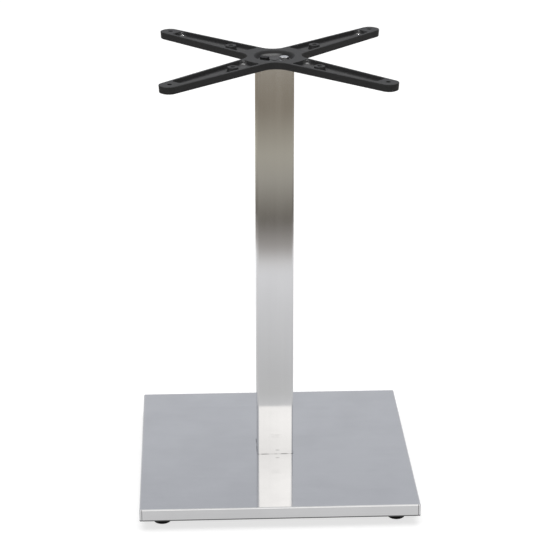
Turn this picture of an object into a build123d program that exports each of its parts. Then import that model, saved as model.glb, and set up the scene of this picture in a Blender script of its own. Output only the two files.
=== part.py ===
from build123d import *
import os
from math import radians, tan

# Square pedestal table base: a folded stainless base over a steel weight plate, a square column and a cast
# four-armed spider that carries the table top. Millimetres, +Z up, origin on the floor under the column.

# Overall sizes
overall_height = 720.0
base_side = 450.0
column_side = 60.0

# Folded base cover
ground_clearance = 18.0
cover_height = 20.0
cover_sheet = 1.2
cover_inside_bend = 1.3
cover_inside_corner = 1.8
seam_inset = 4.0
seam_width = 1.0
seam_depth = 0.8

# Weight plate inside the cover
ballast_thickness = 8.0
ballast_clearance = 1.0
ballast_corner = 6.0
ballast_edge_break = 1.0

# Square column and the tapped plates welded inside its ends
column_wall = 1.5
column_inside_corner = 1.5
weld_gap = 0.2
foot_plate_thickness = 12.0
head_plate_thickness = 10.0

# Bolts and washers that hold the column down
column_bolt_diameter = 10.0
column_bolt_length = 25.0
column_bolt_flats = 17.0
column_bolt_head = 6.4
column_bolt_pitch = 34.0
column_washer_diameter = 20.0
column_washer_thickness = 2.0

# Bolts and washers that hold the spider on
spider_bolt_diameter = 8.0
spider_bolt_length = 16.0
spider_bolt_flats = 13.0
spider_bolt_head = 5.3
spider_bolt_spacing = 31.0
spider_washer_diameter = 16.0
spider_washer_thickness = 1.6

# Fits and edge breaks shared by the fasteners
thread_clearance = 0.05
bolt_hole_clearance = 0.5
washer_clearance = 0.25
shank_chamfer = 1.0
head_chamfer_angle = 30.0
head_face_ratio = 0.95

# Cast spider: outline
spider_thickness = 12.0
spider_draft = 4.0
arm_root_half_width = 25.0
tip_half_width = 15.5
tip_pitch_circle = 465.0
tip_hole_diameter = 8.0
tip_overhang = 16.5
tip_corner = 14.0
hub_fillet = 25.0
spider_lower_round = 1.5
spider_upper_round = 0.8

# Cast spider: troughs along the arms and the screw bosses in them
rim_width = 4.0
hub_wall_radius = 54.0
trough_tip_gap = 15.0
trough_depth = 7.5
trough_draft = 8.0
trough_corner = 6.0
trough_fillet = 2.5
boss_pitch_circle = 190.0
boss_diameter = 17.0
boss_hole_diameter = 8.0
boss_draft = 8.0
boss_fillet = 1.5

# Cast spider: dished hub
recess_rim_diameter = 67.5
recess_floor_diameter = 52.0
recess_depth = 7.0
recess_rim_round = 1.0
bolt_seat_diameter = 18.0
bolt_seat_depth = 1.8
hub_mark_diameter = 11.0
hub_mark_height = 0.8

# Levelling feet
foot_inset = 36.0
pad_diameter = 30.0
pad_height = 10.0
pad_rim_height = 6.5
pad_lower_round = 4.5
pad_upper_round = 1.0
pad_neck_diameter = 20.0
stem_diameter = 10.0
stem_socket_depth = 5.0
stem_collar_flats = 14.0
level_travel_in = 4.5
stop_gap = 0.3
foot_nut_flats = 17.0
foot_nut_height = 8.0

# Levels up the stand
cover_top_z = ground_clearance + cover_height
ballast_top_z = cover_top_z - cover_sheet
ballast_bottom_z = ballast_top_z - ballast_thickness
foot_nut_bottom_z = ballast_bottom_z - foot_nut_height
collar_top_z = foot_nut_bottom_z - level_travel_in - stop_gap
stem_top_z = ballast_top_z - level_travel_in - stop_gap
spider_bottom_z = overall_height - spider_thickness
bolt_seat_z = overall_height - recess_depth - bolt_seat_depth

# Outside radii of the folded sheet and the tube
cover_bend = cover_inside_bend + cover_sheet
cover_corner = cover_inside_corner + cover_sheet
column_corner = column_inside_corner + column_wall

# Places around the stand
corners = {
    "front_left": (-1, -1),
    "front_right": (1, -1),
    "rear_left": (-1, 1),
    "rear_right": (1, 1),
}
sides = {"left": -1, "right": 1}
foot_reach = base_side / 2 - foot_inset
tube_inside = column_side - 2 * column_wall
end_plate_side = tube_inside - 2 * weld_gap
stem_radius = stem_diameter / 2

ARM_COUNT = 4
FIRST_ARM_ANGLE = 45
HEX_SIDES = 6
UP = 1
DOWN = -1
ON_TOP = (Align.CENTER, Align.CENTER, Align.MIN)
BELOW = (Align.CENTER, Align.CENTER, Align.MAX)

os.makedirs("parts", exist_ok=True)


def save(builder, name):
    """Label a finished piece and write it to its own STEP file."""
    builder.part.label = name
    export_step(builder.part, f"parts/{name}.step")


def hex_chamfer_radii(flats, height):
    """Radii of the cone that chamfers a hexagon's corners, at its seat and at its free face."""
    face_radius = flats / 2 * head_face_ratio
    return face_radius + height / tan(radians(head_chamfer_angle)), face_radius


def make_bolt(name, center, seat_z, head_way, diameter, length, flats, head):
    """Hex bolt seated at seat_z: head above the seat for UP, below it for DOWN, and shank the other way."""
    seat = Plane(origin=(*center, seat_z), x_dir=(1, 0, 0), z_dir=(0, 0, head_way))
    with BuildPart() as bolt:
        with BuildSketch(seat):
            RegularPolygon(flats / 2, HEX_SIDES, major_radius=False)
        extrude(amount=head)
        with Locations(seat):
            Cone(*hex_chamfer_radii(flats, head), head, align=ON_TOP, mode=Mode.INTERSECT)
        with BuildSketch(seat):
            Circle(diameter / 2)
        extrude(amount=-length)
        shank_end = bolt.faces().sort_by(Axis(seat.origin, seat.z_dir))[0]
        chamfer(shank_end.edges(), shank_chamfer)
    save(bolt, name)


def make_washer(name, center, base_z, diameter, thickness, bolt_diameter):
    """Flat washer standing on base_z, bored to pass its bolt."""
    with BuildPart() as washer:
        with BuildSketch(Plane.XY.offset(base_z)):
            with Locations(center):
                Circle(diameter / 2)
                Circle(bolt_diameter / 2 + washer_clearance, mode=Mode.SUBTRACT)
        extrude(amount=thickness)
    save(washer, name)


# Base cover: one folded sheet with welded corners
with BuildPart() as base_cover:
    with BuildSketch(Plane.XY.offset(ground_clearance)):
        RectangleRounded(base_side, base_side, cover_corner)
    extrude(amount=cover_height)
    fillet(base_cover.faces().sort_by(Axis.Z)[-1].edges(), cover_bend)
    offset(amount=-cover_sheet, openings=base_cover.faces().sort_by(Axis.Z)[0])
    with Locations((0, 0, cover_top_z)):
        with GridLocations(column_bolt_pitch, column_bolt_pitch, 2, 2):
            Hole(column_bolt_diameter / 2 + bolt_hole_clearance)
    # A ground weld seam shows near each end of the front and back skirts
    with BuildSketch(Plane.XY.offset(ground_clearance)):
        with GridLocations(base_side - 2 * seam_inset, base_side, 2, 2):
            Rectangle(seam_width, 2 * seam_depth)
    extrude(amount=cover_height - cover_bend, mode=Mode.SUBTRACT)
save(base_cover, "base_cover")

# Weight plate: sheared steel under the cover, bored for the column bolts and the feet
with BuildPart() as ballast_plate:
    ballast_side = base_side - 2 * (cover_sheet + ballast_clearance)
    with BuildSketch(Plane.XY.offset(ballast_bottom_z)):
        RectangleRounded(ballast_side, ballast_side, ballast_corner)
    extrude(amount=ballast_thickness)
    chamfer(ballast_plate.faces().filter_by(Plane.XY).edges(), ballast_edge_break)
    with Locations((0, 0, ballast_top_z)):
        with GridLocations(column_bolt_pitch, column_bolt_pitch, 2, 2):
            Hole(column_bolt_diameter / 2 + bolt_hole_clearance)
        with GridLocations(2 * foot_reach, 2 * foot_reach, 2, 2):
            Hole(stem_diameter / 2 + bolt_hole_clearance)
save(ballast_plate, "ballast_plate")

# Column: square tube between the cover and the spider
with BuildPart() as column_tube:
    with BuildSketch(Plane.XY.offset(cover_top_z)):
        RectangleRounded(column_side, column_side, column_corner)
        RectangleRounded(tube_inside, tube_inside, column_inside_corner, mode=Mode.SUBTRACT)
    extrude(amount=spider_bottom_z - cover_top_z)
save(column_tube, "column_tube")

# Tapped plate welded inside the lower end of the column
with BuildPart() as column_foot_plate:
    with BuildSketch(Plane.XY.offset(cover_top_z)):
        RectangleRounded(end_plate_side, end_plate_side, column_corner)
        with GridLocations(column_bolt_pitch, column_bolt_pitch, 2, 2):
            Circle(column_bolt_diameter / 2 + thread_clearance, mode=Mode.SUBTRACT)
    extrude(amount=foot_plate_thickness)
save(column_foot_plate, "column_foot_plate")

# Tapped plate welded inside the upper end of the column
with BuildPart() as column_head_plate:
    with BuildSketch(Plane.XY.offset(spider_bottom_z)):
        RectangleRounded(end_plate_side, end_plate_side, column_corner)
        with GridLocations(spider_bolt_spacing, 0, 2, 1):
            Circle(spider_bolt_diameter / 2 + thread_clearance, mode=Mode.SUBTRACT)
    extrude(amount=-head_plate_thickness)
save(column_head_plate, "column_head_plate")

# Spider: one casting with four tapered arms, open troughs, screw bosses, tip pads and a dished hub
tip_hole_reach = tip_pitch_circle / 2
arm_end = tip_hole_reach + tip_overhang
trough_end = tip_hole_reach - trough_tip_gap
arm_taper = (arm_root_half_width - tip_half_width) / tip_hole_reach
arm_end_half = arm_root_half_width - arm_taper * arm_end
trough_root_half = arm_root_half_width - rim_width
trough_end_half = trough_root_half - arm_taper * trough_end
boss_foot_radius = boss_diameter / 2 + trough_depth * tan(radians(boss_draft))

with BuildPart() as spider:
    with BuildSketch(Plane.XY.offset(overall_height)) as outline:
        with PolarLocations(0, ARM_COUNT, FIRST_ARM_ANGLE):
            Polygon(
                (0, arm_root_half_width),
                (arm_end, arm_end_half),
                (arm_end, -arm_end_half),
                (0, -arm_root_half_width),
                align=None,
            )
        fillet(outline.vertices().sort_by_distance((0, 0, 0))[:ARM_COUNT], hub_fillet)
        fillet(outline.vertices().sort_by_distance((0, 0, 0))[-2 * ARM_COUNT:], tip_corner)
    extrude(amount=-spider_thickness, taper=spider_draft)
    fillet(spider.faces().sort_by(Axis.Z)[0].edges(), spider_lower_round)
    fillet(spider.faces().sort_by(Axis.Z)[-1].edges(), spider_upper_round)
    # Open troughs, cut back from the rims and from a round hub, with casting draft and a rounded floor
    with BuildSketch(Plane.XY.offset(overall_height)) as troughs:
        with PolarLocations(0, ARM_COUNT, FIRST_ARM_ANGLE):
            Polygon(
                (0, trough_root_half),
                (trough_end, trough_end_half),
                (trough_end, -trough_end_half),
                (0, -trough_root_half),
                align=None,
            )
        Circle(hub_wall_radius, mode=Mode.SUBTRACT)
        fillet(troughs.vertices(), trough_corner)
    extrude(amount=-trough_depth, taper=trough_draft, mode=Mode.SUBTRACT)
    trough_floors = spider.faces(Select.LAST).group_by(Axis.Z)[0]
    fillet(trough_floors.edges(), trough_fillet)
    # Screw bosses stand in the troughs, level with the rims
    with Locations((0, 0, overall_height)):
        with PolarLocations(boss_pitch_circle / 2, ARM_COUNT, FIRST_ARM_ANGLE):
            Cone(boss_foot_radius, boss_diameter / 2, trough_depth, align=BELOW)
    fillet(spider.edges(Select.LAST).group_by(Axis.Z)[0], boss_fillet)
    # Dished hub with two deeper bolt seats and a round casting mark between them
    with Locations((0, 0, overall_height)):
        Cone(
            recess_floor_diameter / 2,
            recess_rim_diameter / 2,
            recess_depth,
            align=BELOW,
            mode=Mode.SUBTRACT,
        )
    fillet(spider.edges(Select.LAST).sort_by(Axis.Z)[-1], recess_rim_round)
    with Locations((0, 0, overall_height)):
        with GridLocations(spider_bolt_spacing, 0, 2, 1):
            CounterBoreHole(
                spider_bolt_diameter / 2 + bolt_hole_clearance,
                bolt_seat_diameter / 2,
                recess_depth + bolt_seat_depth,
            )
    with Locations((0, 0, overall_height - recess_depth)):
        Cylinder(hub_mark_diameter / 2, hub_mark_height, align=ON_TOP)
    # Screw holes for the table top
    with Locations((0, 0, overall_height)):
        with PolarLocations(tip_hole_reach, ARM_COUNT, FIRST_ARM_ANGLE):
            Hole(tip_hole_diameter / 2)
        with PolarLocations(boss_pitch_circle / 2, ARM_COUNT, FIRST_ARM_ANGLE):
            Hole(boss_hole_diameter / 2)
save(spider, "spider")

# Spider fasteners in the two bolt seats
for side, x_sign in sides.items():
    place = (x_sign * spider_bolt_spacing / 2, 0)
    make_washer(
        f"spider_washer_{side}",
        place,
        bolt_seat_z,
        spider_washer_diameter,
        spider_washer_thickness,
        spider_bolt_diameter,
    )
    make_bolt(
        f"spider_bolt_{side}",
        place,
        bolt_seat_z + spider_washer_thickness,
        UP,
        spider_bolt_diameter,
        spider_bolt_length,
        spider_bolt_flats,
        spider_bolt_head,
    )

for corner, (x_sign, y_sign) in corners.items():
    # Column fasteners under the weight plate
    place = (x_sign * column_bolt_pitch / 2, y_sign * column_bolt_pitch / 2)
    washer_base_z = ballast_bottom_z - column_washer_thickness
    make_washer(
        f"column_washer_{corner}",
        place,
        washer_base_z,
        column_washer_diameter,
        column_washer_thickness,
        column_bolt_diameter,
    )
    make_bolt(
        f"column_bolt_{corner}",
        place,
        washer_base_z,
        DOWN,
        column_bolt_diameter,
        column_bolt_length,
        column_bolt_flats,
        column_bolt_head,
    )

    # Levelling foot: moulded pad, threaded stem with a spanner collar, and the nut welded under the plate
    foot = (x_sign * foot_reach, y_sign * foot_reach)
    with BuildPart() as foot_pad:
        with BuildSketch(Plane(origin=(*foot, 0), x_dir=(1, 0, 0), z_dir=(0, -1, 0))):
            with BuildLine():
                Polyline(
                    (0, 0),
                    (pad_diameter / 2, 0),
                    (pad_diameter / 2, pad_rim_height),
                    (pad_neck_diameter / 2, pad_height),
                    (stem_radius + thread_clearance, pad_height),
                    (stem_radius + thread_clearance, pad_height - stem_socket_depth),
                    (0, pad_height - stem_socket_depth),
                    close=True,
                )
            make_face()
        revolve(axis=Axis((*foot, 0), (0, 0, 1)))
        pad_rims = foot_pad.edges().filter_by(GeomType.CIRCLE)
        lower_rim, upper_rim = pad_rims.sort_by(SortBy.RADIUS)[-2:].sort_by(Axis.Z)
        fillet(lower_rim, pad_lower_round)
        fillet(upper_rim, pad_upper_round)
    save(foot_pad, f"foot_pad_{corner}")

    with BuildPart() as foot_stem:
        with BuildSketch(Plane.XY.offset(pad_height)):
            with Locations(foot):
                RegularPolygon(stem_collar_flats / 2, HEX_SIDES, major_radius=False)
        extrude(amount=collar_top_z - pad_height)
        with BuildSketch(Plane.XY.offset(stem_top_z)):
            with Locations(foot):
                Circle(stem_radius)
        extrude(amount=-(stem_top_z - pad_height + stem_socket_depth))
        chamfer(foot_stem.faces().sort_by(Axis.Z)[-1].edges(), shank_chamfer)
    save(foot_stem, f"foot_stem_{corner}")

    nut_seat = Plane(origin=(*foot, ballast_bottom_z), x_dir=(1, 0, 0), z_dir=(0, 0, DOWN))
    nut_radii = hex_chamfer_radii(foot_nut_flats, foot_nut_height)
    with BuildPart() as foot_nut:
        with BuildSketch(nut_seat):
            RegularPolygon(foot_nut_flats / 2, HEX_SIDES, major_radius=False)
        extrude(amount=foot_nut_height)
        with Locations(nut_seat):
            Cone(*nut_radii, foot_nut_height, align=ON_TOP, mode=Mode.INTERSECT)
        with Locations(nut_seat):
            Hole(stem_radius + thread_clearance)
    save(foot_nut, f"foot_nut_{corner}")
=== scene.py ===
# %% [markdown]
# A pedestal base for a dining table: a square folded base of satin stainless steel, a square column and a
# black cast spider that the table top is screwed to. The CAD model is loaded as a fixed frame, in metres,
# and every finish and every extra piece below is fitted to it. The Standard view shows each tone as it is
# written.

# %% Load the frame
from math import cos, pi, radians, sin

import bpy
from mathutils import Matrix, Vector


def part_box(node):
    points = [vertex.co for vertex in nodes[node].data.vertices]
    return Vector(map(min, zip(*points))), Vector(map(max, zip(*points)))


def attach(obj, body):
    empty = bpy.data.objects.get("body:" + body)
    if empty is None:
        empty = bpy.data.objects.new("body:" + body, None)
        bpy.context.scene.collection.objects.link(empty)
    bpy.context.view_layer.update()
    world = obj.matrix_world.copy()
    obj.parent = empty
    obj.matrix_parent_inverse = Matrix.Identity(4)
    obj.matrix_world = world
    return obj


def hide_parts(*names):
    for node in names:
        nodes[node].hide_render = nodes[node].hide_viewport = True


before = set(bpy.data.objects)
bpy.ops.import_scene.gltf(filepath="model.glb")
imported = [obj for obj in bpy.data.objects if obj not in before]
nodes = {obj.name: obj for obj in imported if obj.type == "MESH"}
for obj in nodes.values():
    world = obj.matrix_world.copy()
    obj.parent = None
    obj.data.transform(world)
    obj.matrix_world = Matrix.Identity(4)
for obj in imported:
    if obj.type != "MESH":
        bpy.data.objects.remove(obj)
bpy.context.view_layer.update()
scene = bpy.context.scene
scene.view_settings.view_transform = "Standard"

# %% [markdown]
# The photograph looks at the stand from a little left of its middle and from well above the base, through
# a long lens. A camera can be set by angles, but a point to stand at and a point to look at are easier to
# read and to adjust, so the camera is aimed from one to the other.

# %% Camera
camera_place = Vector((-0.134, -3.094, 1.529))
camera_target = Vector((0.001, 0.0, 0.349))
camera_lens = 132.0

camera_data = bpy.data.cameras.new("photo_camera")
camera_data.lens = camera_lens
camera = bpy.data.objects.new("photo_camera", camera_data)
camera.location = camera_place
camera.rotation_euler = (camera_target - camera_place).to_track_quat("-Z", "Y").to_euler()
scene.collection.objects.link(camera)
scene.camera = camera
print("camera distance:", round((camera_target - camera_place).length, 3), "m")

# %% [markdown]
# Materials, the world and Geometry Nodes are all trees of nodes. They can be wired by hand in the editor,
# but a tree in code can be read from top to bottom and runs the same each time. Four small helpers keep
# the code short: they feed a socket with a value or with another node's output, add a node and feed its
# sockets by name, give a point's place in the CAD frame, and split a vector into its axes.


# %% Node helpers
def feed(tree, socket, value):
    """Link another node's output to a socket, or set a plain value on it."""
    if isinstance(value, bpy.types.NodeSocket):
        tree.links.new(value, socket)
    else:
        socket.default_value = value


def add_node(tree, kind, **sockets):
    """Add a node and feed its sockets, an underscore standing for a space in a socket's name."""
    made = tree.nodes.new(kind)
    for name, value in sockets.items():
        feed(tree, made.inputs[name.replace("_", " ")], value)
    return made


def object_place(tree):
    """Where a point lies in the CAD frame."""
    return tree.nodes.new("ShaderNodeTexCoord").outputs["Object"]


def axes_of(tree, vector):
    """The X, Y and Z of a vector, as three outputs."""
    return add_node(tree, "ShaderNodeSeparateXYZ", Vector=vector).outputs


print("node helpers:", feed.__name__, add_node.__name__, object_place.__name__, axes_of.__name__)

# %% [markdown]
# Masks and ranges are plain arithmetic. A Math node works on one or two values, so a chain of them stands
# for a longer sum, and a Map Range node moves a value from one range onto another. A line that slants has
# its length from its reach along two axes, and the rest of a share is what it leaves of a whole.


# %% Arithmetic helpers
def maths(tree, operation, first, *others):
    """A Math node on one value, or a chain of them that takes in the other values in turn."""
    result = first
    for other in others or (0.0,):
        made = tree.nodes.new("ShaderNodeMath")
        made.operation = operation
        feed(tree, made.inputs[0], result)
        feed(tree, made.inputs[1], other)
        result = made.outputs[0]
    return result


def ranged(tree, value, low, high, start=0.3, end=0.7):
    """A value between start and end, where noise mostly stays, moved onto low to high."""
    moved = add_node(tree, "ShaderNodeMapRange", Value=value, From_Min=start, From_Max=end,
                     To_Min=low, To_Max=high)
    return moved.outputs["Result"]


def slant(tree, first, second):
    """The length of a line that reaches so far along two axes."""
    squares = [maths(tree, "MULTIPLY", reach, reach) for reach in (first, second)]
    return maths(tree, "SQRT", maths(tree, "ADD", *squares))


def rest_of(tree, share):
    """What a share leaves of a whole."""
    return maths(tree, "SUBTRACT", 1.0, share)


print("arithmetic helpers:", maths.__name__, ranged.__name__, slant.__name__, rest_of.__name__)

# %% [markdown]
# Some of it should look brighter than it lights. A ray that comes from the camera or from polished metal
# can be told from scattered light, and a glow that only such rays meet is seen without adding light to
# the stand.


# %% Studio helpers
def empty_material(name):
    """A material whose tree has no nodes yet."""
    made = bpy.data.materials.new(name)
    made.use_nodes = True
    made.node_tree.nodes.clear()
    return made, made.node_tree


def seen_directly(tree):
    """1 for a ray from the camera, from polished metal or through glass, and 0 for scattered light."""
    ray = tree.nodes.new("ShaderNodeLightPath").outputs
    return maths(tree, "MAXIMUM", ray["Is Camera Ray"], ray["Is Glossy Ray"], ray["Is Transmission Ray"])


def studio_object(name, points, faces, material):
    """A mesh of the studio, which isn't part of the stand."""
    mesh = bpy.data.meshes.new(name)
    mesh.from_pydata(points, [], faces)
    mesh.materials.append(material)
    made = bpy.data.objects.new(name, mesh)
    scene.collection.objects.link(made)
    return made


print("studio helpers:", empty_material.__name__, seen_directly.__name__, studio_object.__name__)

# %% [markdown]
# The studio floor is a sheet of white paper. It is a dull surface, so that it catches the soft shadow of
# the stand, and it glows a little for rays that are seen directly. That keeps the background white
# without more light on the stand. The glow grows with distance, because the lamp overhead fades there.

# %% Studio paper
paper_half = 9.0
paper_grey = (0.45, 0.45, 0.45, 1.0)
glow_near, glow_far = 0.72, 0.88
near_reach, far_reach = 0.8, 5.0
square = ((-1, -1), (1, -1), (1, 1), (-1, 1))

paper, tree = empty_material("studio_paper")
away = tree.nodes.new("ShaderNodeVectorMath")
away.operation = "LENGTH"
tree.links.new(object_place(tree), away.inputs[0])
lift = ranged(tree, away.outputs["Value"], glow_near, glow_far, near_reach, far_reach)
dull_paper = add_node(tree, "ShaderNodeBsdfDiffuse", Color=paper_grey)
glow = add_node(tree, "ShaderNodeEmission", Strength=maths(tree, "MULTIPLY", seen_directly(tree), lift))
both = tree.nodes.new("ShaderNodeAddShader")
tree.links.new(dull_paper.outputs[0], both.inputs[0])
tree.links.new(glow.outputs[0], both.inputs[1])
add_node(tree, "ShaderNodeOutputMaterial", Surface=both.outputs[0])
paper_corners = [(x * paper_half, y * paper_half, 0.0) for x, y in square]
studio_object("studio_paper", paper_corners, [(0, 1, 2, 3)], paper)
print("paper side:", 2 * paper_half, "m")

# %% [markdown]
# The light is a large soft box overhead, a dim white room all round and a smaller box behind the camera.
# Most of the light comes from above, as in the photograph, where the tops of the spider's arms are
# clearly lighter than their sides. Polished metal doesn't see the overhead box, and shows the white room
# in its place, so the folded edges of the base don't burn out. The box behind the camera shows twice
# mirrored, in the corner between the column and the base, where the photograph has its brightest steel.


# %% Lamps
def soft_box(name, place, target, width, depth, power):
    """A rectangular lamp that points from its place to a target and never shows in the picture itself."""
    lamp = bpy.data.lights.new(name, "AREA")
    lamp.shape = "RECTANGLE"
    lamp.size, lamp.size_y, lamp.energy = width, depth, power
    made = bpy.data.objects.new(name, lamp)
    made.location = place
    made.rotation_euler = (Vector(target) - Vector(place)).to_track_quat("-Z", "Y").to_euler()
    made.visible_camera = False
    scene.collection.objects.link(made)
    return made


warm_white = (1.0, 0.95, 0.87)

overhead_box = soft_box("overhead_box", place=(0.0, -0.3, 4.2), target=(0.0, 0.0, 0.0),
                        width=5.0, depth=5.0, power=165.0)
overhead_box.visible_glossy = False
front_box = soft_box("front_box", place=(0.2, -4.4, 2.15), target=(0.0, 0.0, 0.05),
                     width=1.8, depth=1.2, power=4.55)
front_box.data.color = warm_white
print("lamps:", overhead_box.name, front_box.name)

# %% [markdown]
# In the photograph a few corners of the casting hold a small bright spot, as glossy paint does under a
# bright window. A strong lamp for the whole scene would make the spots too, but the steel would mirror it
# as a burnt patch. Light linking keeps this lamp for the casting, and it adds gloss alone, so it lights
# nothing else.

# %% Bright window
bright_window = soft_box("bright_window", place=(-1.9, -2.9, 2.7), target=(0.0, 0.0, 0.7),
                         width=0.45, depth=0.35, power=130.0)
bright_window.visible_diffuse = False
lit_by_window = bpy.data.collections.new("lit_by_window")
lit_by_window.objects.link(nodes["spider"])
bright_window.light_linking.receiver_collection = lit_by_window

# %% [markdown]
# The white room is the world's background. Walls could be built, but a plain world lights the stand from
# every side and is ready at once. It is plain white where it is seen directly, and much dimmer as a
# light, so that the shadows keep some depth.

# %% White room
room_light = 0.25
plain_white = (1.0, 1.0, 1.0, 1.0)

room = bpy.data.worlds.new("white_room")
room.use_nodes = True
scene.world = room
tree = room.node_tree
background = tree.nodes["Background"]
background.inputs["Color"].default_value = plain_white
brightness = ranged(tree, seen_directly(tree), room_light, 1.0, 0.0, 1.0)
tree.links.new(brightness, background.inputs["Strength"])
print("room:", room.name, "with a light of", room_light)

# %% [markdown]
# Polished steel shows the room more than its own colour. In the photograph the column seems to mirror the
# paper for about a metre, then the edge of the paper and a darker floor, and the base seems to mirror a
# pale blue wall. Painting those tones on the steel would be wrong from any other side, so they are cards
# that only polished surfaces see: a ring on the floor, graded from the edge of the base outwards, and a
# curved wall.


# %% Reflection cards
def graded_card(name, points, faces, measure, tones):
    """A card that only polished surfaces see, its tones placed along a measure of Object coordinates."""
    finish, tree = empty_material(name)
    near, far = tones[0][0], tones[-1][0]
    along = ranged(tree, measure(tree, axes_of(tree, object_place(tree))), 0.0, 1.0, near, far)
    ramp = add_node(tree, "ShaderNodeValToRGB", Fac=along)
    stops = ramp.color_ramp.elements
    while len(stops) < len(tones):
        stops.new(1.0)
    for stop, (where, tone) in zip(stops, tones):
        stop.position = (where - near) / (far - near)
        stop.color = (*tone, 1.0)
    glow = add_node(tree, "ShaderNodeEmission", Color=ramp.outputs["Color"])
    add_node(tree, "ShaderNodeOutputMaterial", Surface=glow.outputs[0])
    card = studio_object(name, points, faces, finish)
    card.visible_camera = card.visible_diffuse = card.visible_shadow = False
    return card


print("card helper:", graded_card.__name__)

# %% [markdown]
# The floor card is a square ring just above the paper. Its tones follow the distance from the edge of the
# base, so they turn round the corners of the base in arcs, and a rounded edge of the column shows the
# same band as the faces beside it.


# %% Floor card
def out_from_stand(tree, axes):
    """How far out a point lies: the half side of the base plus the distance from its edge."""
    beyond = []
    for axis in "XY":
        past_edge = maths(tree, "SUBTRACT", maths(tree, "ABSOLUTE", axes[axis]), base_half)
        beyond.append(maths(tree, "MAXIMUM", past_edge, 0.0))
    return maths(tree, "ADD", slant(tree, *beyond), base_half)


card_lift = 0.002
base_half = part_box("base_cover")[1].x
floor_tones = [
    (0.23, (0.73, 0.73, 0.735)),
    (0.31, (0.74, 0.74, 0.745)),
    (0.36, (0.67, 0.67, 0.67)),
    (0.45, (0.67, 0.67, 0.675)),
    (0.98, (0.87, 0.87, 0.885)),
    (1.04, (0.80, 0.79, 0.79)),
    (1.13, (0.43, 0.41, 0.39)),
    (1.32, (0.165, 0.15, 0.13)),
    (1.62, (0.42, 0.40, 0.35)),
    (1.82, (0.48, 0.455, 0.385)),
    (2.25, (0.27, 0.236, 0.188)),
    (3.00, (0.40, 0.365, 0.305)),
]
inner, outer = floor_tones[0][0], floor_tones[-1][0]
ring_points = [(x * reach, y * reach, card_lift) for reach in (inner, outer) for x, y in square]
sides = len(square)
ring_faces = [(k, k + sides, (k + 1) % sides + sides, (k + 1) % sides) for k in range(sides)]
graded_card("floor_card", ring_points, ring_faces, out_from_stand, floor_tones)
print("floor card:", inner, "to", outer, "m")

# %% [markdown]
# The wall card bends round the back and the sides, because the base mirrors what stands behind it. A flat
# wall would end at its edges, and a bent one looks the same to the whole of the base.


# %% Wall card
def up_the_wall(tree, axes):
    """How high up the wall a point lies."""
    return axes["Z"]


wall_radius = 3.2
wall_sweep = radians(250)
wall_steps = 40
wall_tones = [
    (0.2, (0.80, 0.81, 0.83)),
    (1.2, (0.62, 0.635, 0.675)),
    (1.8, (0.55, 0.565, 0.605)),
    (4.0, (0.58, 0.59, 0.62)),
]
wall_points = []
for step in range(wall_steps + 1):
    turn = pi / 2 + wall_sweep * (step / wall_steps - 0.5)
    for level in (wall_tones[0][0], wall_tones[-1][0]):
        wall_points.append((wall_radius * cos(turn), wall_radius * sin(turn), level))
wall_faces = [(2 * k, 2 * k + 1, 2 * k + 3, 2 * k + 2) for k in range(wall_steps)]
graded_card("wall_card", wall_points, wall_faces, up_the_wall, wall_tones)
print("wall card at", wall_radius, "m")

# %% [markdown]
# Every finish is mixed from noise on Object coordinates, which are the CAD frame in metres, so a scale is
# the number of marks in a metre. The helpers start a finish, make noise stretched by its scale on each
# axis, mix two values and tell which way a face looks.


# %% Finish helpers
def new_finish(name, **sockets):
    """A material, its tree and its Principled shader, with the shader's plain inputs set by name."""
    finish = bpy.data.materials.new(name)
    finish.use_nodes = True
    shader = finish.node_tree.nodes["Principled BSDF"]
    for socket, value in sockets.items():
        shader.inputs[socket.replace("_", " ")].default_value = value
    return finish, finish.node_tree, shader


def marks(tree, scale, detail=2.0, place=None):
    """Noise with so many marks in a metre along each axis."""
    stretched = add_node(tree, "ShaderNodeMapping", Vector=place or object_place(tree), Scale=scale)
    noise = add_node(tree, "ShaderNodeTexNoise", Vector=stretched.outputs[0], Scale=1.0, Detail=detail)
    return noise.outputs["Fac"]


def mixed(tree, first, second, share):
    """Two values mixed, with so much of the second."""
    kept = maths(tree, "MULTIPLY", first, 1.0 - share)
    return maths(tree, "ADD", kept, maths(tree, "MULTIPLY", second, share))


def facing(tree):
    """Which way a face looks, along X, Y and Z."""
    return axes_of(tree, tree.nodes.new("ShaderNodeNewGeometry").outputs["Normal"])


print("finish helpers:", new_finish.__name__, marks.__name__, mixed.__name__, facing.__name__)

# %% [markdown]
# A value becomes a colour between two tones, and dirt or painted shade makes a colour darker. Fine grain
# is too small to model, so a Bump node tilts the surface for the light alone.


# %% Tone helpers
def tone_between(tree, value, first, last):
    """The colour between two others by a value from 0 to 1."""
    ramp = add_node(tree, "ShaderNodeValToRGB", Fac=value)
    for stop, tone in zip(ramp.color_ramp.elements, (first, last)):
        stop.color = (*tone, 1.0)
    return ramp.outputs["Color"]


def shaded(tree, colour, shade):
    """A colour made darker by a shade from 0 to 1."""
    darker = tree.nodes.new("ShaderNodeVectorMath")
    darker.operation = "SCALE"
    tree.links.new(colour, darker.inputs[0])
    tree.links.new(rest_of(tree, shade), darker.inputs["Scale"])
    return darker.outputs[0]


def raise_grain(tree, shader, height, depth, strength):
    """Raise the surface by a height from 0 to 1, which stands for a depth in metres."""
    bump = add_node(tree, "ShaderNodeBump", Height=height, Distance=depth, Strength=strength)
    tree.links.new(bump.outputs["Normal"], shader.inputs["Normal"])


print("tone helpers:", tone_between.__name__, shaded.__name__, raise_grain.__name__)

# %% [markdown]
# The cover is one sheet of satin stainless steel, brushed along X before it was folded. On its top and on
# the front and back skirts the grain still runs along X. On the side skirts the fold has turned it
# upright, so the sheet coordinates below put the height there in the place of X.

# %% Sheet coordinates of the cover
side_facing = 0.5

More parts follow.
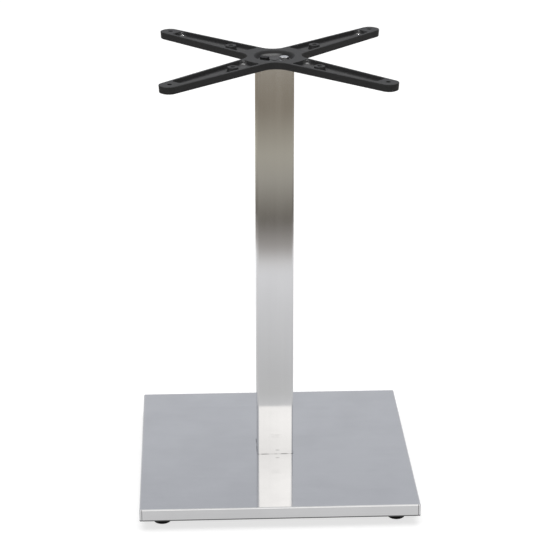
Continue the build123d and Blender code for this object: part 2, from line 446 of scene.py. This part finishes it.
cover_steel, tree, shader = new_finish("cover_steel", Metallic=1.0)
cover_low, cover_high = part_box("base_cover")
across, depth, height = axes_of(tree, object_place(tree))
on_side = maths(tree, "GREATER_THAN", maths(tree, "ABSOLUTE", facing(tree)["X"]), side_facing)
elsewhere = rest_of(tree, on_side)
turned_up = maths(tree, "MULTIPLY", height, on_side)
along_sheet = maths(tree, "ADD", maths(tree, "MULTIPLY", across, elsewhere), turned_up)
up_sheet = maths(tree, "MULTIPLY", height, elsewhere)
sheet = add_node(tree, "ShaderNodeCombineXYZ", X=along_sheet, Y=depth, Z=up_sheet).outputs[0]
print("cover sheet:", [round(side, 4) for side in cover_high - cover_low])

# %% [markdown]
# The grain is fine scratches over a few broad streaks, and faint clouds show where hands and cloths have
# been. A photograph of steel could be laid on, but it would repeat and need unwrapping, so all three are
# noise. The scratches and streaks are long along the brushing and short across it, and the clouds are
# round. The grain is raised a little as well, and where the steel is rougher it mirrors less sharply.

# %% Cover grain
grain_along, grain_across = 5.0, 1300.0
streak_along, streak_across = 1.5, 150.0
streak_share = 0.15
cover_cloud_scale = (11.0, 11.0, 11.0)
cover_satin = 0.06, 0.09
cover_cloud_satin = -0.01, 0.01
scratch_depth = 0.00002

scratches = marks(tree, (grain_along, grain_across, grain_across), place=sheet)
streaks = marks(tree, (streak_along, streak_across, streak_across), place=sheet)
clouds = marks(tree, cover_cloud_scale, detail=3.0)
grain = mixed(tree, scratches, streaks, streak_share)
satin = maths(tree, "ADD", ranged(tree, grain, *cover_satin), ranged(tree, clouds, *cover_cloud_satin))
tree.links.new(satin, shader.inputs["Roughness"])
raise_grain(tree, shader, grain, scratch_depth, strength=0.12)
print("cover scratches in a metre:", grain_across)

# %% [markdown]
# Steel is darker in three places: in the fine ground seams beside the welded corners, where dirt stays,
# along the sheared lower edge of the skirts, where a contact shadow is painted, and in patches in the
# joint round the foot of the column, where shade is painted. All three have a known place in the CAD
# frame, so each is a mask by place.

# %% Places of dirt and painted shade
seam_inset = 0.004
seam_half_width = 0.0006
skirt_depth = 0.0015
edge_height = 0.0018
joint_reach = 0.0007
patch_scale = (70.0, 70.0, 70.0)
patch_shade = 0.35, 1.0
patch_span = 0.42, 0.58

column_low, column_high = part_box("column_tube")
out_x, out_y = (maths(tree, "ABSOLUTE", axis) for axis in (across, depth))
from_seam = maths(tree, "ABSOLUTE", maths(tree, "SUBTRACT", out_x, cover_high.x - seam_inset))
on_skirt = maths(tree, "GREATER_THAN", out_y, cover_high.y - skirt_depth)
in_seam = maths(tree, "MULTIPLY", maths(tree, "LESS_THAN", from_seam, seam_half_width), on_skirt)
# A painted contact shadow along the lower edge of the skirts.
at_edge = maths(tree, "LESS_THAN", height, cover_low.z + edge_height)
# Painted shade in patches in the joint round the column.
near_column = maths(tree, "LESS_THAN", maths(tree, "MAXIMUM", out_x, out_y), column_high.x + joint_reach)
patches = ranged(tree, marks(tree, patch_scale), *patch_shade, *patch_span)
in_joint = maths(tree, "MULTIPLY", near_column, patches)
print("seams at x =", round(cover_high.x - seam_inset, 4), "joint at", round(column_high.x, 4))

# %% [markdown]
# The strongest dirt or painted shade at a point darkens the clean tone of the steel there. The clean tone
# itself is a little uneven, by the grain and by the clouds, and the column below is toned in the same
# way.

# %% Cover tone
steel_dark = (0.685, 0.685, 0.69)
steel_light = (0.745, 0.745, 0.75)
cloud_span = 0.38, 0.62
cover_cloud_share = 0.6
# The edge shade is a painted contact shadow and the joint shade a painted shade; the seam shade is dirt.
seam_shade, painted_edge_shadow, painted_joint_shade = 0.55, 0.8, 0.6


def steel_tone(tree, grain, clouds, cloud_share, dirt_and_shade):
    """The tone of steel by its grain and a share of its clouds, made darker by dirt and painted shade."""
    by_grain = ranged(tree, grain, 0.0, 1.0 - cloud_share)
    by_clouds = ranged(tree, clouds, 0.0, cloud_share, *cloud_span)
    clean = tone_between(tree, maths(tree, "ADD", by_grain, by_clouds), steel_dark, steel_light)
    return shaded(tree, clean, dirt_and_shade)


# Dirt in the seams, and painted shade at the lower edge and in the joint.
shades = ((in_seam, seam_shade), (at_edge, painted_edge_shadow), (in_joint, painted_joint_shade))
dirt_and_shade = maths(tree, "MAXIMUM", *(maths(tree, "MULTIPLY", *shade) for shade in shades))
tree.links.new(steel_tone(tree, grain, clouds, cover_cloud_share, dirt_and_shade), shader.inputs["Base Color"])
print("cover finish:", cover_steel.name)

# %% [markdown]
# The column is the same steel as a drawn square tube, brushed along its length. Upright scratches spread
# a reflection sideways and leave it sharp up and down, which is why the photograph shows clear level
# bands on it. The shader's anisotropy does that with no tangent of its own: without one it turns round
# the column's axis. Broad upright streaks and faint clouds give the faces the slight unevenness of a tube
# that was brushed by hand.

# %% Column steel
tube_streak_scale = (90.0, 90.0, 1.2)
tube_streak_share = 0.55
tube_cloud_scale = (14.0, 14.0, 5.0)
tube_satin = 0.085, 0.115
tube_cloud_satin = -0.015, 0.015

column_steel, tree, shader = new_finish("column_steel", Metallic=1.0, Anisotropic=0.8)
scratches = marks(tree, (grain_across, grain_across, grain_along))
streaks = marks(tree, tube_streak_scale)
clouds = marks(tree, tube_cloud_scale)
grain = mixed(tree, scratches, streaks, tube_streak_share)
satin = maths(tree, "ADD", ranged(tree, grain, *tube_satin), ranged(tree, clouds, *tube_cloud_satin))
tree.links.new(satin, shader.inputs["Roughness"])
raise_grain(tree, shader, scratches, scratch_depth, strength=0.1)
print("column finish:", column_steel.name)

# %% [markdown]
# The joint at the foot of the column gets the same patchy painted shade as the cover's side of it, and
# the steel above is painted a little darker towards the joint, a painted shade in the corner between
# column and cover. A painted image could hold such shade, but the tube would have to be unwrapped for it.
# A mask by the height above the joint needs no unwrapping and fits all four faces.

# %% Painted shade at the foot of the column
corner_shade_reach, corner_shade = 0.055, 0.12

across, depth, height = axes_of(tree, object_place(tree))
above_joint = maths(tree, "SUBTRACT", height, column_low.z)
# Painted shade in patches in the joint, and a painted shade that fades out upwards from it.
at_joint = maths(tree, "LESS_THAN", above_joint, joint_reach)
patches = ranged(tree, marks(tree, patch_scale), *patch_shade, *patch_span)
joint_shade_in_patches = maths(tree, "MULTIPLY", at_joint, painted_joint_shade, patches)
corner_shade_ramp = ranged(tree, above_joint, corner_shade, 0.0, 0.0, corner_shade_reach)
foot_painted_shade = maths(tree, "MAXIMUM", joint_shade_in_patches, corner_shade_ramp)
print("joint at z =", round(column_low.z, 4), "m")

# %% [markdown]
# Two marks are left on the front face of the column, a faint smear and a small dark fleck by the joint.
# Each is an ellipse, and a noise makes its edge wander, so that it doesn't look like a printed dot.

# %% Marks on the column
smear = {"across": 0.0005, "up": 0.033, "half_width": 0.011, "half_height": 0.006, "shade": 0.07}
fleck = {"across": 0.004, "up": 0.0068, "half_width": 0.005, "half_height": 0.0013, "shade": 0.24}
wander_scale = (160.0, 160.0, 400.0)
wander_reach = 0.5
tube_cloud_share = 0.5

on_front = maths(tree, "LESS_THAN", depth, 0.0)
wander = ranged(tree, marks(tree, wander_scale), -wander_reach, wander_reach)
# The painted shade at the foot of the column, with the two marks of dirt added to it.
dirt_and_shade = foot_painted_shade
for mark in (smear, fleck):
    beside = maths(tree, "DIVIDE", maths(tree, "SUBTRACT", across, mark["across"]), mark["half_width"])
    above = maths(tree, "DIVIDE", maths(tree, "SUBTRACT", above_joint, mark["up"]), mark["half_height"])
    from_mark = maths(tree, "ADD", slant(tree, beside, above), wander)
    left = ranged(tree, from_mark, mark["shade"], 0.0, 0.0, 1.0)
    dirt_and_shade = maths(tree, "ADD", dirt_and_shade, maths(tree, "MULTIPLY", left, on_front))
tree.links.new(steel_tone(tree, grain, clouds, tube_cloud_share, dirt_and_shade), shader.inputs["Base Color"])
print("marks at", smear["up"], "and", fleck["up"], "m above the joint")

# %% [markdown]
# The spider is cast iron under black semi-gloss paint. The uneven skin of a sand casting shows through
# the paint, and the paint has a fine orange peel of its own. Both are noise, coarse and fine, and are
# raised together.

# %% Casting skin
skin_scale = (420.0, 420.0, 420.0)
peel_scale = (1500.0, 1500.0, 1500.0)
peel_share = 0.35
skin_depth = 0.0002

casting_paint, tree, shader = new_finish("casting_paint", Roughness=0.52, Specular_IOR_Level=0.15,
                                         Coat_IOR=3.0, Coat_Roughness=0.15)
skin = marks(tree, skin_scale, detail=3.0)
peel = marks(tree, peel_scale, detail=1.0)
cast_skin = maths(tree, "ADD", skin, maths(tree, "MULTIPLY", peel, peel_share))
raise_grain(tree, shader, cast_skin, skin_depth, strength=0.2)
print("casting marks in a metre:", skin_scale[0], "and", peel_scale[0])

# %% [markdown]
# The tone of the casting depends on the way a face looks and on how deep it lies below the top. Single
# faces could be painted by hand, but masks by slope and by depth fit the casting from every side and need
# no unwrapping. Both are worked out once here, for the film, the painted highlight and shade, and the
# gloss below.


# %% Slope and depth on the casting
def by_depth(tree, below_top, at_deep, at_shallow, depths):
    """A value that changes from a depth below the top of the casting to a shallower one."""
    deep, shallow = depths
    return ranged(tree, below_top, at_shallow, at_deep, shallow, deep)


up_span = 0.7, 0.97

casting_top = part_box("spider")[1].z
across, depth, height = axes_of(tree, object_place(tree))
below_top = maths(tree, "SUBTRACT", casting_top, height)
looks_up = ranged(tree, facing(tree)["Z"], 0.0, 1.0, *up_span)
steep = rest_of(tree, looks_up)
print("casting top at", round(casting_top, 4), "m")

# %% [markdown]
# A thin grey film lies on the faces that look up, and more of it lies in the troughs. It is partly dust,
# where nobody wipes, and partly painted light, which makes the tops lighter than the sides and lifts the
# trough floors out of their shade. The upper edges carry a painted highlight, a little paler. The steep
# wall of the dish in the hub gets a painted shade, its blackest tone. The film and the highlight move the
# tone from black to grey, and the painted shade of the dish lies over both.

# %% Casting tone
paint_black = (0.033, 0.033, 0.0335)
# The grey is dust with painted light on it: the rim and trough values lift the tops and the trough
# floors, the edge value is a painted highlight and the dish value a painted shade.
dust_and_light_grey = (0.1, 0.1, 0.102)
rim_dust_and_light, trough_dust_and_light, edge_highlight = 0.1, 0.68, 0.36
dust_and_light_spread = 0.8, 1.15
dust_and_light_depths = 0.005, 0.002
edge_depths = 0.0012, 0.0004
dish_radius, dish_shade = 0.034, 0.75
dish_depths = 0.0035, 0.0006

# Dust with painted light on the faces that look up, most in the troughs.
sunk = by_depth(tree, below_top, trough_dust_and_light, rim_dust_and_light, dust_and_light_depths)
dust_and_light = maths(tree, "MULTIPLY", looks_up, sunk, ranged(tree, skin, *dust_and_light_spread))
# A painted highlight along the upper edges.
painted_edge_highlight = maths(tree, "MULTIPLY", by_depth(tree, below_top, 0.0, edge_highlight, edge_depths), steep)
from_axis = slant(tree, across, depth)
in_dish = maths(tree, "LESS_THAN", from_axis, dish_radius)
# Painted shade on the steep wall of the dish.
low_in_dish = by_depth(tree, below_top, dish_shade, 0.0, dish_depths)
dish_wall_shade = maths(tree, "MULTIPLY", in_dish, low_in_dish, steep)
painted = tone_between(tree, maths(tree, "ADD", dust_and_light, painted_edge_highlight), paint_black, dust_and_light_grey)
tree.links.new(shaded(tree, painted, dish_wall_shade), shader.inputs["Base Color"])
print("casting finish:", casting_paint.name)

# %% [markdown]
# Wet paint runs into the corners at the ends of the troughs and dries there thick and glossy. In the
# photograph some of these corners catch a bright spot. The arms lie on the diagonals, so the axes turned
# by 45 degrees give a place along an arm and off its middle line, and the paint is pooled where both are
# near a corner.

# %% Pooled paint in the troughs
trough_corners = ((0.0545, 0.0145), (0.2135, 0.0075))
pool_reach, pool_fade = 0.002, 0.006
diagonal = cos(pi / 4)

out_x, out_y = (maths(tree, "ABSOLUTE", axis) for axis in (across, depth))
along_arm = maths(tree, "MULTIPLY", maths(tree, "ADD", out_x, out_y), diagonal)
beside_arm = maths(tree, "MULTIPLY", maths(tree, "SUBTRACT", out_x, out_y), diagonal)
off_middle = maths(tree, "ABSOLUTE", beside_arm)
pools = []
for corner_along, corner_off in trough_corners:
    along = maths(tree, "SUBTRACT", along_arm, corner_along)
    off = maths(tree, "SUBTRACT", off_middle, corner_off)
    pools.append(ranged(tree, slant(tree, along, off), 1.0, 0.0, pool_reach, pool_reach + pool_fade))
print("pooled paint at", [corner_along for corner_along, _ in trough_corners], "m along each arm")

# %% [markdown]
# The paint has also run down the back wall of the dish, a little to the left, where the photograph shows
# a light band behind the bolts. A second material could make the pools and the run, but it would end in a
# hard border. A coat on the same shader fades out instead, and it lies on walls below the rim alone. Its
# index of refraction, set where the finish starts, is higher than a real lacquer has, so that such small
# spots show.

# %% Run of paint in the dish
run_gloss = 0.65
run_depths = 0.0052, 0.0036
run_lean = 0.2
run_span = 0.75, 0.95
pool_drop = 0.0008

leaned = maths(tree, "SUBTRACT", depth, maths(tree, "MULTIPLY", across, run_lean))
at_back = ranged(tree, maths(tree, "DIVIDE", leaned, from_axis), 0.0, 1.0, *run_span)
low_wall = by_depth(tree, below_top, run_gloss, 0.0, run_depths)
pools.append(maths(tree, "MULTIPLY", in_dish, low_wall, at_back))
below_rim = maths(tree, "GREATER_THAN", below_top, pool_drop)
coat = maths(tree, "MULTIPLY", below_rim, steep, maths(tree, "MAXIMUM", *pools))
tree.links.new(coat, shader.inputs["Coat Weight"])
print("places with a coat:", len(pools))

# %% [markdown]
# The rest of the stand is plain shop material, and each finish is two tones of one noise with a roughness
# that follows it. The weight plate is hot-rolled steel under thin black paint. The plates inside the
# column are bare steel with brown mill scale. Most fasteners are zinc plated, the left hub bolt is
# blackened, and the pads of the feet are moulded plastic with a fine spark-eroded skin.


# %% Shop finishes
def mottled(name, scale, tones, roughness, grain_depth, **sockets):
    """A finish of two tones and two roughnesses that follow one noise, raised by the same noise."""
    finish, tree, shader = new_finish(name, **sockets)
    noise = marks(tree, (scale, scale, scale), detail=4.0)
    tree.links.new(tone_between(tree, ranged(tree, noise, 0.0, 1.0), *tones), shader.inputs["Base Color"])
    tree.links.new(ranged(tree, noise, *roughness), shader.inputs["Roughness"])
    raise_grain(tree, shader, noise, grain_depth, strength=0.2)
    return finish


plate_paint = mottled("plate_paint", scale=160.0, tones=((0.012, 0.012, 0.013), (0.03, 0.029, 0.028)),
                      roughness=(0.62, 0.48), grain_depth=0.0002)
bare_plate = mottled("bare_plate", scale=130.0, tones=((0.13, 0.115, 0.105), (0.38, 0.37, 0.36)),
                     roughness=(0.6, 0.38), grain_depth=0.0001, Metallic=0.9)
zinc_plate = mottled("zinc_plate", scale=700.0, tones=((0.64, 0.64, 0.65), (0.80, 0.80, 0.79)),
                     roughness=(0.2, 0.34), grain_depth=0.00004, Metallic=1.0)
black_oxide = mottled("black_oxide", scale=700.0, tones=((0.008, 0.008, 0.0085), (0.02, 0.02, 0.0205)),
                      roughness=(0.5, 0.65), grain_depth=0.00004, Specular_IOR_Level=0.2)
foot_plastic = mottled("foot_plastic", scale=1600.0, tones=((0.005, 0.005, 0.005), (0.01, 0.01, 0.01)),
                       roughness=(0.6, 0.7), grain_depth=0.0001, Specular_IOR_Level=0.08)
weld_metal = mottled("weld_metal", scale=900.0, tones=((0.16, 0.14, 0.13), (0.45, 0.43, 0.41)),
                     roughness=(0.5, 0.3), grain_depth=0.00006, Metallic=1.0)
print("materials:", len(bpy.data.materials))

# %% [markdown]
# A CAD node keeps its mesh and only gets the finish of the real piece. Pieces that repeat share the start
# of their names, so one line here dresses all of a kind. The first start that fits is taken, so the bolts
# and washers of the spider stand before the spider itself.

# %% Dress the CAD nodes
finish_for = {
    "base_cover": cover_steel,
    "column_tube": column_steel,
    "column_foot_plate": bare_plate,
    "column_head_plate": bare_plate,
    "column_bolt": zinc_plate,
    "column_washer": zinc_plate,
    "ballast_plate": plate_paint,
    "spider_bolt_left": black_oxide,
    "spider_washer_left": black_oxide,
    "spider_bolt_right": zinc_plate,
    "spider_washer_right": zinc_plate,
    "spider": casting_paint,
    "foot_pad": foot_plastic,
    "foot_stem": zinc_plate,
    "foot_nut": zinc_plate,
}
for node_name, node in nodes.items():
    start = next(start for start in finish_for if node_name.startswith(start))
    node.data.materials.clear()
    node.data.materials.append(finish_for[start])
print("dressed:", len(nodes), "nodes")

# %% [markdown]
# Two kinds of piece follow a rule, so Geometry Nodes make them: the screw threads of the four feet and
# the weld beads of their nuts. Both use the same helpers. One starts a tree with named inputs, one ends
# it, and one runs a tree with sizes for those inputs and keeps the result as a plain mesh.


# %% Geometry Nodes helpers
def new_tree(name, **inputs):
    """A tree that gives geometry, and the outputs of its input node, one for each named input."""
    tree = bpy.data.node_groups.new(name, "GeometryNodeTree")
    tree.interface.new_socket("Geometry", in_out="OUTPUT", socket_type="NodeSocketGeometry")
    for label, kind in inputs.items():
        spaced = label.replace("_", " ")
        tree.interface.new_socket(spaced, in_out="INPUT", socket_type="NodeSocket" + kind)
    return tree, tree.nodes.new("NodeGroupInput").outputs


def end_tree(tree, geometry, finish):
    """Realize the instances, give them their finish and hand the geometry out."""
    real = add_node(tree, "GeometryNodeRealizeInstances", Geometry=geometry)
    dressed = add_node(tree, "GeometryNodeSetMaterial", Geometry=real.outputs[0], Material=finish)
    tree.links.new(dressed.outputs[0], tree.nodes.new("NodeGroupOutput").inputs["Geometry"])


def run_tree(tree, name, **sizes):
    """A plain mesh object made by a tree, with every named input set before it is evaluated."""
    maker = bpy.data.objects.new(name + "_maker", bpy.data.meshes.new(name + "_maker"))
    scene.collection.objects.link(maker)
    shape = maker.modifiers.new("shape", "NODES")
    shape.node_group = tree
    for socket in tree.interface.items_tree:
        if socket.in_out == "INPUT":
            shape[socket.identifier] = sizes[socket.name.replace(" ", "_")]
    evaluated = maker.evaluated_get(bpy.context.evaluated_depsgraph_get())
    mesh = bpy.data.meshes.new_from_object(evaluated)
    mesh.name = name
    bpy.data.objects.remove(maker)
    made = bpy.data.objects.new(name, mesh)
    scene.collection.objects.link(made)
    return made


print("tree helpers:", new_tree.__name__, end_tree.__name__, run_tree.__name__)

# %% [markdown]
# Each foot turns on a screw with a hexagon collar for a spanner. The CAD solid has a plain shank, which
# is right for fits and collisions. A screw modifier could sweep a thread profile, but its ends need
# trimming. Here a cylinder with many rings is pulled in along a helix instead: at each point the height
# over the pitch, less the turn round the axis, says how deep in the groove the point lies. The thread
# stays inside the CAD shank.

# %% Thread tree: the groove
thread_tree, given = new_tree("threaded_stem", Radius="Float", Thread_Depth="Float", Pitch="Float",
                              Bottom="Float", Thread_Start="Float", Top="Float", End_Chamfer="Float",
                              Collar_Flats="Float", Collar_Bottom="Float", Collar_Top="Float",
                              Place="Vector", Finish="Material")
tree = thread_tree
groove_span = 0.12, 0.85

length = maths(tree, "SUBTRACT", given["Top"], given["Bottom"])
x, y, z = axes_of(tree, tree.nodes.new("GeometryNodeInputPosition").outputs[0])
level = maths(tree, "ADD", z, given["Bottom"], maths(tree, "MULTIPLY", length, 0.5))
turn = maths(tree, "DIVIDE", maths(tree, "ARCTAN2", y, x), 2 * pi)
lead = maths(tree, "FRACT", maths(tree, "SUBTRACT", maths(tree, "DIVIDE", level, given["Pitch"]), turn))
flank = maths(tree, "ABSOLUTE", maths(tree, "SUBTRACT", maths(tree, "MULTIPLY", lead, 2.0), 1.0))
groove = maths(tree, "MULTIPLY", ranged(tree, flank, 0.0, 1.0, *groove_span), given["Thread Depth"])
threaded = maths(tree, "MULTIPLY", groove, maths(tree, "GREATER_THAN", level, given["Thread Start"]))
print("groove nodes:", len(tree.nodes))

# %% [markdown]
# The end of the screw has a chamfer, so that it finds its nut. A Bevel modifier could cut it, but it
# would round the thread too. The end is pulled in like the thread instead, and the deeper of the two cuts
# counts. The shank is smooth round its side and flat at its ends.

# %% Thread tree: the shank
shank_sides, shank_rings = 32, 150

shank = add_node(tree, "GeometryNodeMeshCylinder", Vertices=shank_sides, Side_Segments=shank_rings,
                 Radius=given["Radius"], Depth=length)
to_end = maths(tree, "SUBTRACT", given["Top"], level)
end_cut = maths(tree, "MAXIMUM", maths(tree, "SUBTRACT", given["End Chamfer"], to_end), 0.0)
pulled = maths(tree, "SUBTRACT", given["Radius"], maths(tree, "MAXIMUM", threaded, end_cut))
keep = maths(tree, "DIVIDE", pulled, given["Radius"])
pulled_in = add_node(tree, "ShaderNodeCombineXYZ", X=maths(tree, "MULTIPLY", x, keep),
                     Y=maths(tree, "MULTIPLY", y, keep), Z=level)
cut_shank = add_node(tree, "GeometryNodeSetPosition", Geometry=shank.outputs["Mesh"],
                     Position=pulled_in.outputs[0])
round_shank = add_node(tree, "GeometryNodeSetShadeSmooth", Geometry=cut_shank.outputs[0],
                       Selection=shank.outputs["Side"])
print("shank:", shank_sides, "sides,", shank_rings, "rings")

# %% [markdown]
# The collar is a hexagon with its corners turned off, like any nut. A round ring of points becomes a
# hexagon when each point is moved to the flat in its direction, and it gets the turned corners when it is
# also held inside a cone at each end, so one formula with the smaller of the two radii makes the whole
# collar.

# %% Thread tree: the collar
collar_sides, collar_rings = 48, 12
corner_turn = pi / 3
cone_slope = 1.73
face_share = 0.95

collar_height = maths(tree, "SUBTRACT", given["Collar Top"], given["Collar Bottom"])
half_height = maths(tree, "MULTIPLY", collar_height, 0.5)
collar = add_node(tree, "GeometryNodeMeshCylinder", Vertices=collar_sides, Side_Segments=collar_rings,
                  Radius=1.0, Depth=collar_height)
flat_reach = maths(tree, "MULTIPLY", given["Collar Flats"], 0.5)
from_corner = maths(tree, "FLOORED_MODULO", maths(tree, "ARCTAN2", y, x), corner_turn)
from_flat = maths(tree, "SUBTRACT", from_corner, corner_turn / 2)
hexagon = maths(tree, "DIVIDE", flat_reach, maths(tree, "COSINE", from_flat))
from_face = maths(tree, "SUBTRACT", half_height, maths(tree, "ABSOLUTE", z))
face_reach = maths(tree, "MULTIPLY", flat_reach, face_share)
cone = maths(tree, "ADD", face_reach, maths(tree, "MULTIPLY", from_face, cone_slope))
reach = maths(tree, "MINIMUM", hexagon, cone)
collar_level = maths(tree, "ADD", z, given["Collar Bottom"], half_height)
shaped = add_node(tree, "ShaderNodeCombineXYZ", X=maths(tree, "MULTIPLY", x, reach),
                  Y=maths(tree, "MULTIPLY", y, reach), Z=collar_level)
hex_collar = add_node(tree, "GeometryNodeSetPosition", Geometry=collar.outputs["Mesh"],
                      Position=shaped.outputs[0])
flat_collar = add_node(tree, "GeometryNodeSetShadeSmooth", Geometry=hex_collar.outputs[0],
                       Shade_Smooth=False)
print("collar:", collar_sides, "sides,", collar_rings, "rings")

# %% [markdown]
# The shank runs through the collar. A boolean could make them one solid, but their shared faces can't be
# seen, so a plain join is enough and leaves both meshes regular. The whole stem is then moved to the
# place of its foot.

# %% Thread tree: the whole stem
whole = tree.nodes.new("GeometryNodeJoinGeometry")
for stem_part in (round_shank, flat_collar):
    tree.links.new(stem_part.outputs[0], whole.inputs[0])
placed = add_node(tree, "GeometryNodeTransform", Geometry=whole.outputs[0], Translation=given["Place"])
end_tree(tree, placed.outputs[0], given["Finish"])
print("thread tree:", len(tree.nodes), "nodes")

# %% [markdown]
# The sizes come from the CAD boxes where a box shows them. The shank is narrower than its collar, so the
# thread's own sizes are written here: an M10 screw with a pitch of 1.5 mm. Each threaded stem rides on
# its own foot and stands for the plain CAD stem.

# %% Threaded stems
stem_radius = 0.005
thread_pitch = 0.0015
thread_depth = 0.0008
end_chamfer = 0.001
collar_top = 0.016
corners = ("front_left", "front_right", "rear_left", "rear_right")

for corner in corners:
    stem_low, stem_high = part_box("foot_stem_" + corner)
    middle = (stem_low + stem_high) / 2
    stem = run_tree(thread_tree, "threaded_stem_" + corner, Radius=stem_radius, Thread_Depth=thread_depth,
                    Pitch=thread_pitch, Bottom=stem_low.z, Thread_Start=collar_top, Top=stem_high.z,
                    End_Chamfer=end_chamfer, Collar_Flats=stem_high.y - stem_low.y,
                    Collar_Bottom=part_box("foot_pad_" + corner)[1].z, Collar_Top=collar_top,
                    Place=(middle.x, middle.y, 0.0), Finish=zinc_plate)
    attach(stem, "foot_" + corner)
    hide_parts("foot_stem_" + corner)
    print(stem.name, len(stem.data.polygons), "faces")

# %% [markdown]
# The nut of each foot is welded under the weight plate with three short beads, one on every other flat. A
# bead could be sculpted, but its size would then be hard to change. Here it is a round section swept
# along a line, swelling and sinking with each touch of the torch and closing at its ends.

# %% Weld tree: one bead
weld_tree, given = new_tree("nut_weld", Bead_Length="Float", Bead_Radius="Float", Nut_Flats="Float",
                            Seat="Float", Spacing="Float", Finish="Material")
tree = weld_tree
bead_steps, bead_sides, bead_touches = 30, 12, 5
sunk_share = 0.82
end_power, end_room = 6.0, 1.02

half_bead = maths(tree, "MULTIPLY", given["Bead Length"], 0.5)
bead_start = add_node(tree, "ShaderNodeCombineXYZ", X=maths(tree, "MULTIPLY", half_bead, -1.0))
bead_end = add_node(tree, "ShaderNodeCombineXYZ", X=half_bead)
line = add_node(tree, "GeometryNodeCurvePrimitiveLine", Start=bead_start.outputs[0],
                End=bead_end.outputs[0])
path = add_node(tree, "GeometryNodeResampleCurve", Curve=line.outputs[0], Count=bead_steps)
along = tree.nodes.new("GeometryNodeSplineParameter").outputs["Factor"]
touch = maths(tree, "SINE", maths(tree, "MULTIPLY", along, 2 * pi * bead_touches))
from_middle = maths(tree, "SUBTRACT", maths(tree, "MULTIPLY", along, 2.0), 1.0)
end_drop = maths(tree, "POWER", from_middle, end_power)
closing = maths(tree, "SQRT", maths(tree, "SUBTRACT", end_room, end_drop))
swell = maths(tree, "MULTIPLY", closing, ranged(tree, touch, sunk_share, 1.0, -1.0, 1.0))
section = add_node(tree, "GeometryNodeCurvePrimitiveCircle", Resolution=bead_sides,
                   Radius=given["Bead Radius"])
bead = add_node(tree, "GeometryNodeCurveToMesh", Curve=path.outputs[0], Profile_Curve=section.outputs[0],
                Scale=swell, Fill_Caps=True)
smooth_bead = add_node(tree, "GeometryNodeSetShadeSmooth", Geometry=bead.outputs[0])
print("bead:", bead_steps, "steps,", bead_sides, "sides")

# %% [markdown]
# The bead is made once. It is set on three points round a nut, and the three are set at the four corners
# of a grid, so a change to the bead reaches all twelve.

# %% Weld tree: all nuts
welds_per_nut = 3

flats = add_node(tree, "GeometryNodeMeshCircle", Vertices=welds_per_nut,
                 Radius=maths(tree, "MULTIPLY", given["Nut Flats"], 0.5))
turned = add_node(tree, "GeometryNodeTransform", Geometry=flats.outputs[0], Rotation=(0.0, 0.0, pi / 2))
index = tree.nodes.new("GeometryNodeInputIndex").outputs[0]
round_axis = maths(tree, "MULTIPLY", index, 2 * pi / welds_per_nut)
bead_turn = add_node(tree, "ShaderNodeCombineXYZ", Z=round_axis)
round_nut = add_node(tree, "GeometryNodeInstanceOnPoints", Points=turned.outputs[0],
                     Instance=smooth_bead.outputs[0], Rotation=bead_turn.outputs[0])
feet = add_node(tree, "GeometryNodeMeshGrid", Size_X=given["Spacing"], Size_Y=given["Spacing"],
                Vertices_X=2, Vertices_Y=2)
all_nuts = add_node(tree, "GeometryNodeInstanceOnPoints", Points=feet.outputs["Mesh"],
                    Instance=round_nut.outputs[0])
seat = add_node(tree, "ShaderNodeCombineXYZ", Z=given["Seat"])
seated = add_node(tree, "GeometryNodeTransform", Geometry=all_nuts.outputs[0],
                  Translation=seat.outputs[0])
end_tree(tree, seated.outputs[0], given["Finish"])
print("weld tree:", len(tree.nodes), "nodes")

# %% [markdown]
# The box of one nut gives the seat of the beads, and their spacing too, because the four feet lie square
# round the middle. The beads belong to the stand: the nuts are welded to its weight plate and don't move
# with the feet.

# %% Weld beads
bead_length = 0.008
bead_radius = 0.0016

nut_low, nut_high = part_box("foot_nut_front_right")
nut_middle = (nut_low + nut_high) / 2
beads = run_tree(weld_tree, "nut_weld_beads", Bead_Length=bead_length, Bead_Radius=bead_radius,
                 Nut_Flats=nut_high.y - nut_low.y, Seat=nut_high.z, Spacing=2 * nut_middle.x,
                 Finish=weld_metal)
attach(beads, "stand")
print(beads.name, len(beads.data.polygons), "faces")
